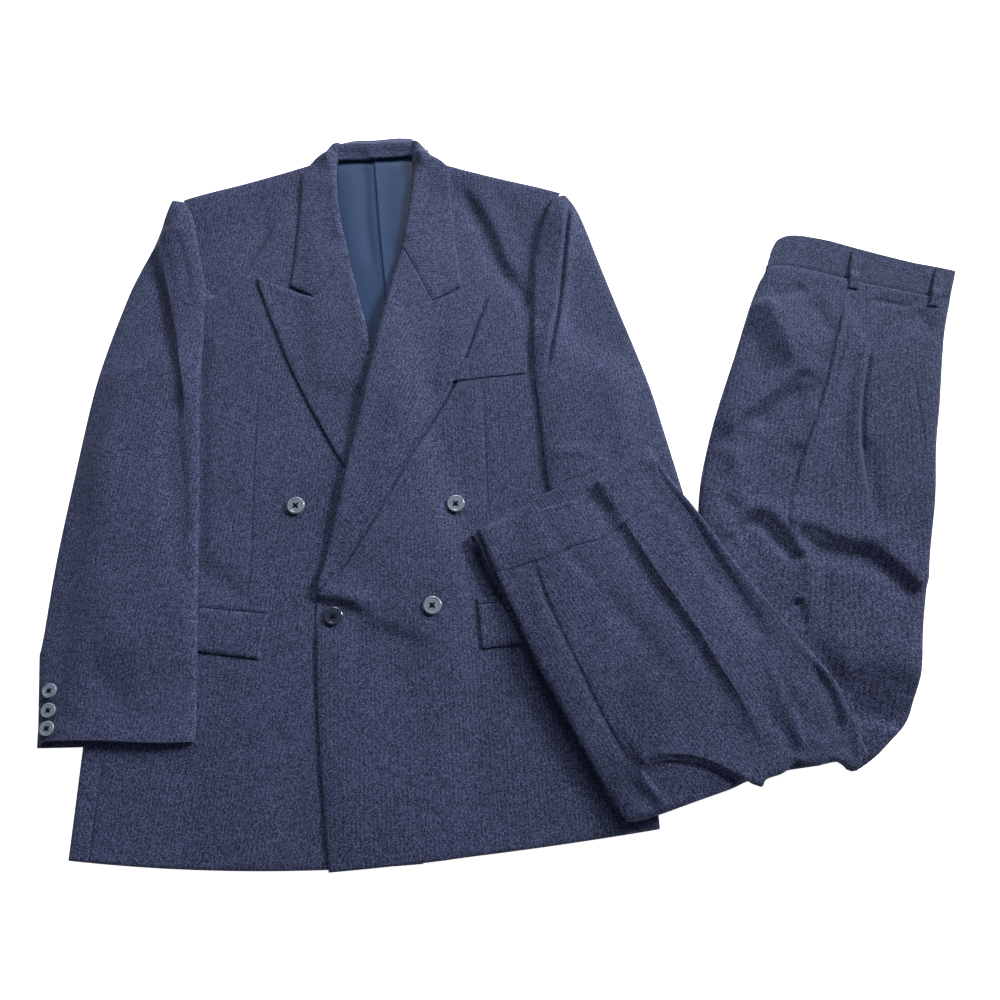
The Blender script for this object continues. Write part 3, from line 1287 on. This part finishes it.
def button(name, node, x, y, radius, bed, batch):
    """Sets one button on the cloth, with its cross of thread."""
    out = radius * SEAT_SHARE
    around = np.array([[[x + out * math.cos(a), y + out * math.sin(a)] for a in range(7)]])
    seat = float(bed.settled(around, SEAT_REACH).mean()) + SHANK
    bm = bmesh.new()
    rings = len(LATHE) - 1
    bmesh.ops.create_grid(bm, x_segments=2 * rings, y_segments=2 * rings, size=rings)
    middles = {face: face.calc_center_median() for face in bm.faces}
    holes = [face for face, at in middles.items() if abs(at.x) == HOLE_RING and abs(at.y) == HOLE_RING]
    for vert in bm.verts:
        gx, gy = round(vert.co.x), round(vert.co.y)
        ring = max(abs(gx), abs(gy))
        share, height = LATHE[ring]
        if ring == 0:
            angle = 0.0
        elif abs(gx) >= abs(gy):
            angle = math.pi / 4 * gy / gx + (math.pi if gx < 0 else 0)
        else:
            angle = math.pi / 2 - math.pi / 4 * gx / gy + (math.pi if gy < 0 else 0)
        vert.co = turned(angle, radius * share, BUTTON_THICKNESS * height)
    bmesh.ops.inset_individual(bm, faces=holes, thickness=HOLE_MARGIN)
    bmesh.ops.inset_individual(bm, faces=holes, thickness=HOLE_TAPER, depth=-HOLE_DEPTH)
    rim = [edge for edge in bm.edges if edge.is_boundary]
    for scale, height in UNDERSIDE:
        made = bmesh.ops.extrude_edge_only(bm, edges=rim)["geom"]
        for vert in (item for item in made if isinstance(item, bmesh.types.BMVert)):
            angle = math.atan2(vert.co.y, vert.co.x)
            vert.co = turned(angle, radius * scale, BUTTON_THICKNESS * height)
        rim = [item for item in made if isinstance(item, bmesh.types.BMEdge) and item.is_boundary]
    bmesh.ops.contextual_create(bm, geom=rim)
    bmesh.ops.recalc_face_normals(bm, faces=bm.faces[:])
    put_down(bm, x, y, seat)
    made = simple(name, bm, batch)
    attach(made, "root")
    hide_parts(node)
    cross = cross_of_thread(x, y, seat + BUTTON_THICKNESS * THREAD_HEIGHT, radius)
    stitches = simple(name + "_thread", cross, thread_cloth)
    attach(stitches, "root")
    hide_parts(node)
    return seat


def simple(name, bm, slot_material):
    """A smooth object from a finished bmesh in metres, whose sharp edges stay sharp."""
    obj = smooth_object(name, bm, slot_material)
    obj.data.set_sharp_from_angle(angle=SHARP_ANGLE)
    return obj


def cross_of_thread(x, y, height, radius):
    """Two strands each way between the four holes, as slim beads whose ends dive into them."""
    bm = bmesh.new()
    for turn in (math.pi / 4, -math.pi / 4):
        for aside in (-STRAND_ASIDE, STRAND_ASIDE):
            made = bmesh.ops.create_uvsphere(bm, u_segments=8, v_segments=6, radius=1.0)["verts"]
            bmesh.ops.scale(bm, verts=made, vec=(radius * STRAND[0], *STRAND[1:]))
            rise = STRAND_RISE * (1 + math.copysign(1, turn))
            bmesh.ops.translate(bm, verts=made, vec=(0, aside, rise))
            for vert in made:
                a, b = vert.co.x, vert.co.y
                vert.co.x = a * math.cos(turn) - b * math.sin(turn)
                vert.co.y = a * math.sin(turn) + b * math.cos(turn)
    put_down(bm, x, y, height)
    return bm


# %% Buttons
BUTTONS = {
    "button_show_right": (-269, -63, BUTTON_RADIUS),
    "button_show_left": (-88, -61, BUTTON_RADIUS),
    "button_lower_left": (-111, -177, BUTTON_RADIUS),
    "button_fastened": (-218, -188, BUTTON_RADIUS),
    "sleeve_button_top": (-512, -266, SLEEVE_BUTTON_RADIUS),
    "sleeve_button_middle": (-509, -286, SLEEVE_BUTTON_RADIUS),
    "sleeve_button_cuff": (-506, -304, SLEEVE_BUTTON_RADIUS),
}
for node, (x, y, radius) in BUTTONS.items():
    batch = dark_resin if node == "button_fastened" else resin
    seat = button(node + "_resin", node, x, y, radius, heap, batch)
    print(node, "sits at", round(seat, 2), "mm")

# %% [markdown]
# ## The hidden layers of the trousers
#
# The trousers are folded in quarters, so four layers of cloth lie on each other. Three of them are never seen
# except as a stack of edges along the sides. One solid stands for those three, with one rounded ring for each
# layer.

# %% Hidden layers
HIDDEN_LAYERS = 4.1
LAYER_COUNT = 3
LAYER_INSET = 1.2
LAYER_BULGE = ((0.08, 1.3), (0.3, -0.2), (0.7, -0.2), (0.92, 1.3))  # share of its height, and inset
TOP_INSET = 2.0


def stacked(count):
    """Rings that bulge once for each layer of a stack."""
    found = []
    for layer in range(count):
        for part, out in LAYER_BULGE:
            found.append(((layer + part) / count, LAYER_INSET * layer + out))
    return tuple(found) + ((1.0, LAYER_INSET * count + TOP_INSET),)


TROUSER_FRONT_ROWS = (
    Row(295, 247.5, 515, 202.5, -4, 1),
    Row(273, 199, 506, 172),
    Row(248, 131, 494.5, 125),
    Row(221, 60, 480.5, 63),
    Row(204, 8, 467.5, 10),
    Row(189, -51, 456.5, -51),
    Row(180, -126, 440, -115),
    Row(166, -214, 417, -203),
    Row(153, -296, 392, -287),
    Row(140, -350, 364, -317),
    Row(127, -383, 339, -332, -8, 1),
)
TROUSER_FOOT = (
    (127, -380), (170, -367), (213, -352), (257, -345), (286, -341), (311, -337), (322, -346), (330, -343),
    (340, -334),
)
TROUSER_UNDER_ROWS = (Row(303, 286, 528, 241, -6, 1),) + TROUSER_FRONT_ROWS
WAIST = (
    (301, 261), (307, 275), (312, 286), (322, 292.5), (336, 294.5), (354, 292), (380, 286), (410, 276),
    (447, 264.5), (480, 255), (509, 248.5), (531, 243),
)
WAIST_SEAM = (
    (294, 243), (301, 248.5), (317, 250.5), (337, 246.5), (364, 239.5), (391, 231.5), (421, 223), (454, 215),
    (487, 207.5), (517, 202),
)
TROUSER_SWELLS = (Swell(360, 60, 90, 170, 3.0),)
trouser_under = cloth(
    "trouser_under_cloth", TROUSER_UNDER_ROWS, heap, Grain(300, 250, 12), wall=HIDDEN_LAYERS, loft=1.5,
    reach=(10, 14, 5, 14), swells=TROUSER_SWELLS, wave=0.3, seed=61, cell=6.0, settle=16.0,
    rings=stacked(LAYER_COUNT), head=WAIST, foot=TROUSER_FOOT,
)
dress(trouser_under, "trouser_under_layers")
heap.lay(trouser_under.face)

# %% [markdown]
# ## Waistband, loops and the pleated front
#
# The waistband is a firm straight strip. Below it two forward pleats open into long folds, and the cloth
# between them and the fold of the seat hangs in soft arches where it was pushed together. Each of those is
# placed by hand.

# %% Waistband and trouser front
WAISTBAND_ROWS = (Row(303, 286, 528, 241, -6, 1), Row(295, 248, 515, 202, -5, 1))
PLEAT_CREASES = (
    # the seat's ridge, the hollow behind it, and the arch that hangs from it
    Crease(((286, 206), (289, 189), (294, 171), (301, 150), (306, 129), (308, 112), (307, 98)),
           34, 22, 9.5, 0.15, 0.3, False, True),
    Crease(((260, 178), (264, 152), (274, 130), (288, 112)), 14, 20, -2.4, 0.3, 0.2),
    Crease(((222, 12), (230, 26), (241, 44), (261, 61), (284, 77), (309, 99), (320, 103), (331, 100),
            (341, 88), (344, 73)), 16, 5.0, 5.6, 0.15, 0.35),
    Crease(((250, 34), (272, 49), (294, 66), (312, 77), (325, 78), (332, 68)), 6, 20, -5.2, 0.2, 0.35),
    Crease(((333, 68), (330, 55), (323, 34), (304, 13), (286, -5)), 5, 8, 1.8, 0.2, 0.3),
    Crease(((228, 14), (232, -8), (232, -30), (227, -50), (218, -66)), 18, 13, 5.0, 0.25, 0.2),
    Crease(((308, 12), (297, -3), (289, -14)), 6, 10, -2.4, 0.3, 0.3),
    # the two forward pleats
    Crease(((388, 200), (380, 179), (374, 163), (366, 140), (358, 114), (350, 88), (340, 63), (331, 41),
            (313, -1), (298, -42), (293, -62)), 10, 2.2, 3.0, 0.1, 0.2, True),
    Crease(((392, 180), (384, 155), (377, 136), (369, 114), (358, 81), (348, 56), (344, 44)),
           12, 2.4, 2.4, 0.2, 0.3, True),
    Crease(((391, 137), (376, 92), (366, 49), (360, 7), (360, -28)), 8, 14, -2.4, 0.2, 0.3),
    Crease(((408, 150), (400, 128), (392, 96), (382, 61), (376, 26), (371, -9), (369, -32)),
           4, 16, 2.2, 0.15, 0.3, True),
    Crease(((404, 133), (401, 114), (391, 77), (384, 41), (381, 6), (380, -25), (379, -58)),
           3.4, 3.0, -3.4, 0.12, 0.2, True),
    Crease(((383, 24), (386, -6), (386, -38), (384, -70), (384, -92)), 9, 6, -3.6, 0.25, 0.3),
    # the long fold above the knee, and the arch beside it
    Crease(((283, -79), (295, -82), (317, -87), (337, -97), (359, -103), (380, -109), (394, -121),
            (409, -136), (417, -147), (426, -160)), 24, 7.0, 4.6, 0.03, 0.06),
    Crease(((290, -93), (306, -109), (324, -117), (346, -121), (367, -126), (385, -139), (401, -155),
            (416, -172)), 8, 15, -5.2, 0.06, 0.08),
    Crease(((356, -95), (375, -101), (392, -97), (405, -84)), 7, 7, 1.6, 0.3, 0.3),
    Crease(((218, -108), (224, -85), (236, -70), (252, -66), (266, -70), (279, -86), (290, -105),
            (299, -124)), 14, 6.5, 4.2, 0.1, 0.06),
    Crease(((228, -104), (232, -89), (243, -84), (254, -87), (265, -102), (278, -118), (290, -131)),
           7, 7, -3.8, 0.1, 0.1),
    # the hollow above the knee's own fold, and small ones
    Crease(((305, -244), (325, -236), (348, -233), (375, -234), (405, -246)), 40, 22, 8.0, 0.25, 0.0),
    Crease(((328, -292), (345, -291), (365, -295), (385, -300)), 20, 8, -6.0, 0.1, 0.0),
    Crease(((284, -84), (293, -104), (301, -126), (298, -154), (292, -180), (290, -198)),
           12, 5, 2.0, 0.2, 0.2),
    Crease(((324, -128), (315, -172), (307, -220)), 8, 8, -1.4, 0.3, 0.3),
    Crease(((268, -185), (279, -176), (288, -170)), 4, 6, -3.4, 0.1, 0.2),
    Crease(((288, -172), (289, -190), (285, -202)), 3, 4, -2.0, 0.1, 0.2),
    Crease(((294, 186), (304, 200), (314, 209), (328, 216), (341, 221)), 6, 13, -3.2, 0.2, 0.25),
    Crease(((336, 206), (348, 186), (356, 164), (358, 140)), 10, 20, -2.6, 0.3, 0.3),
    Crease(((414, 200), (443, 194), (470, 189)), 3.5, 5, -2.0, 0.2, 0.3),
    Crease(((468, 188), (478, 170), (486, 148)), 11, 16, -3.0, 0.25, 0.3),
    Crease(((453, 105), (453, 81), (453, 60), (453, 31), (452, 4)), 1.4, 4, -0.8, 0.1, 0.02, True),
    Crease(((450, 3), (457, 4)), 2.0, 2.0, -1.2, 0, 0),
)
bed = heap.copy()
waistband = cloth(
    "waistband_cloth", WAISTBAND_ROWS, bed, Grain(311, 289, 12.4, 0, True), wall=1.6, loft=0.8,
    reach=(3, 3, 3, 1.5), wave=0.3, seed=62, cell=3.0, settle=8.0, head=WAIST, foot=WAIST_SEAM,
)
trouser_front = cloth(
    "trouser_front_cloth", TROUSER_FRONT_ROWS, bed, Grain(300, 245, 14, -0.0009), wall=1.6, loft=5.0,
    reach=(14, 18, 8, 44), creases=PLEAT_CREASES, wave=1.0, seed=63, cell=3.0, settle=10.0, head=WAIST_SEAM,
    foot=TROUSER_FOOT,
)
dress(waistband, "waistband")
dress(trouser_front, "trouser_front")
heap.lay(waistband.face)
heap.lay(trouser_front.face)

# %% Belt loops
LOOP_WIDTH = 11.0
BELT_LOOPS = ((409, 268, 397, 214), (511, 243, 492, 190))  # top x, y and foot x, y
for number, (top_x, top_y, foot_x, foot_y) in enumerate(BELT_LOOPS, 1):
    half = LOOP_WIDTH / 2
    loop_rows = (
        Row(top_x - half, top_y + 1, top_x + half, top_y - 1, 0, 1),
        Row(foot_x - half, foot_y + 1, foot_x + half, foot_y - 1, 0, 1),
    )
    arch = (Crease(((top_x, top_y - 4), (foot_x, foot_y + 4)), 14, 14, 1.4, 0.25, 0.35),)
    loop = cloth(
        "belt_loop_" + str(number) + "_cloth", loop_rows, heap, Grain(top_x, top_y, 8), wall=1.0, loft=0.4,
        reach=(1, 1, 1.5, 1.5), creases=arch, wave=0.0, cell=1.8, settle=3.0,
    )
    dress(loop, "belt_loop_" + str(number))

# %% [markdown]
# ## The legs, folded back
#
# At the knee both legs turn back over the jacket. Again the layers below are one stacked solid. The pressed
# crease of the upper leg is the sharpest line on the suit: it falls off steeply on its hem side, into a
# hollow that widens towards the knee.

# %% Legs
LEG_UNDER_ROWS = (
    Row(-72, -108, 132, -8, 0, 1),
    Row(-41, -161, 168, -63),
    Row(-10, -217, 208, -124),
    Row(24, -279, 250, -184),
    Row(54, -335, 271, -222),
    Row(73, -368, 316, -285),
    Row(94, -390, 331, -326, -4, 1),
)
LEG_BACK_ROWS = (
    Row(-62, -96, -3, -66, 0, 1),
    Row(-43, -143, 5, -147),
    Row(-22, -189, 23, -189),
    Row(3, -244, 43, -231),
    Row(43, -317, 74, -298),
    Row(66, -358, 97, -339),
    Row(88, -390, 126, -383, 0, 1),
)
LEG_FRONT_ROWS = (
    Row(-3, -66, 127, -1, 0, 1),
    Row(5, -147, 170, -62),
    Row(23, -189, 190, -93),
    Row(43, -231, 221, -140),
    Row(74, -298, 280, -218),
    Row(97, -339, 311, -264),
    Row(126, -383, 334, -322, -7, 1),
)
LEG_RIM = (
    (-2, -62), (4, -70), (12, -70), (28, -65), (48, -59), (60, -50), (71, -40), (96, -24), (120, -6),
    (131, 3),
)
UNDER_RIM = ((-71, -100), (-38, -78), (-2, -58), (29, -44), (72, -24), (103, -11), (131, 2))
KNEE_FOOT = (
    (88, -392), (100, -391), (126, -383), (161, -371), (191, -361), (207, -354), (214, -357), (222, -359),
    (227, -352), (243, -347), (254, -340), (261, -336), (279, -340), (296, -334), (306, -337), (319, -345),
    (326, -339), (330, -331), (336, -330),
)
LEG_CREASE_LINE = (
    (71, -40), (84, -59), (94, -78), (101, -91), (114, -114), (129, -140), (143, -163), (157, -186),
    (172, -209), (182, -231), (194, -252), (207, -276), (216, -296), (224, -315), (230, -332),
)
LEG_CREASES = (
    # the pressed crease, its soft back on the right and the hollow on its left
    Crease(LEG_CREASE_LINE, 32, 4.6, 3.6, 0, 0.12, True, True),
    Crease(((58, -54), (73, -74), (86, -92), (100, -115), (116, -141), (131, -167), (147, -189), (162, -214),
            (173, -236), (184, -258), (197, -280), (207, -300)), 6, 12, -1.8, 0, 0.25),
    Crease(((62, -48), (76, -66), (88, -84)), 6, 14, -1.4, 0, 0.5),
    # the valley and the raised rim along the right
    Crease(((132, -18), (143, -40), (155, -59), (170, -83), (184, -114), (198, -141), (212, -163),
            (226, -186), (237, -209), (246, -233)), 8, 16, -4.8, 0.05, 0.2),
    Crease(((152, -22), (172, -59), (187, -83), (201, -106), (221, -133), (240, -158), (258, -181),
            (276, -209), (294, -234), (312, -260), (324, -284)), 6, 10, 2.2, 0.1, 0.1),
    Crease(((283, -232), (294, -255), (303, -275), (308, -298), (307, -317)), 4, 9, -3.6, 0.2, 0.2),
    Crease(((262, -248), (269, -271), (277, -296), (284, -325)), 6, 6, 2.4, 0.3, 0.1),
    Crease(((264, -268), (274, -294), (288, -318)), 7, 7, -2.6, 0.3, 0.2),
    Crease(((230, -268), (238, -292), (249, -310), (257, -332)), 8, 8, -3.0, 0.3, 0.1),
    Crease(((236, -230), (246, -262), (258, -292), (268, -325)), 5, 5, 1.8, 0.3, 0.1),
    # the mouth that opens at the knee
    Crease(((98, -339), (117, -330), (137, -328), (157, -330), (177, -337), (193, -345), (210, -354)),
           22, 3.0, 3.6, 0.08, 0.04, True, True),
    Crease(((104, -350), (118, -342), (132, -340), (156, -342), (176, -347), (197, -357)),
           3.5, 26, -8.5, 0.12, 0.03),
    # soft hollows over the left half
    Crease(((7, -74), (19, -95), (30, -114), (48, -136), (69, -163)), 7, 7, -1.8, 0.05, 0.3),
    Crease(((60, -152), (89, -186), (109, -210), (123, -231), (135, -256), (146, -281)),
           13, 13, -2.4, 0.2, 0.3),
    Crease(((88, -352), (104, -368), (118, -380)), 8, 8, -2.6, 0.3, 0.1),
    Crease(((324, -297), (321, -310), (314, -328)), 4, 6, -6.5, 0.15, 0.05),
    # the side seam
    Crease(((-1, -130), (10, -168), (28, -210), (48, -252), (68, -294), (93, -339)), 2.0, 5, -1.4, 0.06, 0.1),
)
leg_under = cloth(
    "leg_under_cloth", LEG_UNDER_ROWS, heap, Grain(0, -100, -33), wall=HIDDEN_LAYERS, loft=1.5,
    reach=(14, 14, 10, 14), wave=0.3, seed=71, cell=6.0, settle=32.0, rings=stacked(LAYER_COUNT),
    head=UNDER_RIM, foot=KNEE_FOOT,
)
dress(leg_under, "leg_under_layers")
heap.lay(leg_under.face)
bed = heap.copy()
leg_back = cloth(
    "leg_back_cloth", LEG_BACK_ROWS, bed, Grain(0, -100, -30), wall=1.6, loft=2.6, reach=(8, 0, 4, 8),
    creases=LEG_CREASES[-5:], wave=0.8, seed=73, cell=3.0, settle=8.0, foot=KNEE_FOOT[:3],
)
leg_front = cloth(
    "leg_front_cloth", LEG_FRONT_ROWS, bed, Grain(60, -60, -34), wall=1.6, loft=2.6, reach=(0, 12, 4, 8),
    creases=LEG_CREASES, wave=0.8, seed=73, cell=3.0, settle=8.0, head=LEG_RIM, foot=KNEE_FOOT[2:],
)
dress(leg_back, "leg_back")
dress(leg_front, "leg_front")
heap.lay(leg_back.face)
heap.lay(leg_front.face)

# %% Turn-up
TURN_UP_ROWS = (Row(-64, -92, 131, 3, -2, 1), Row(-41, -137, 152, -45, -8, 1))
TURN_UP_RIM = ((-64, -92), (-38, -80), (-16, -70), (-4, -62)) + LEG_RIM[1:]
TURN_UP_FOOT = (
    (-44, -141), (-27, -138), (-14, -134), (3, -129), (21, -123), (36, -116), (52, -111), (71, -106),
    (84, -99), (99, -87), (116, -75), (134, -59), (146, -48),
)
TURN_UP_CREASES = (
    Crease(((-4, -60), (3, -72)), 2.0, 3.0, -0.8, 0, 0.3),
    Crease(((-46, -140), (-16, -135)), 2.5, 2.5, -0.5, 0.2, 0.3),
    Crease(((71, -103), (98, -86)), 2.5, 2.5, 0.8, 0.2, 0.1),
    Crease(((112, -77), (128, -63)), 2.5, 2.5, 0.8, 0.2, 0.1),
)
turn_up = cloth(
    "turn_up_cloth", TURN_UP_ROWS, heap, Grain(-60, -90, -26), wall=0.5, loft=0.5, reach=(8, 4, 5, 6),
    creases=TURN_UP_CREASES, wave=0.0, seed=74, cell=2.4, settle=0.0, head=TURN_UP_RIM, foot=TURN_UP_FOOT,
)
dress(turn_up, "turn_up")
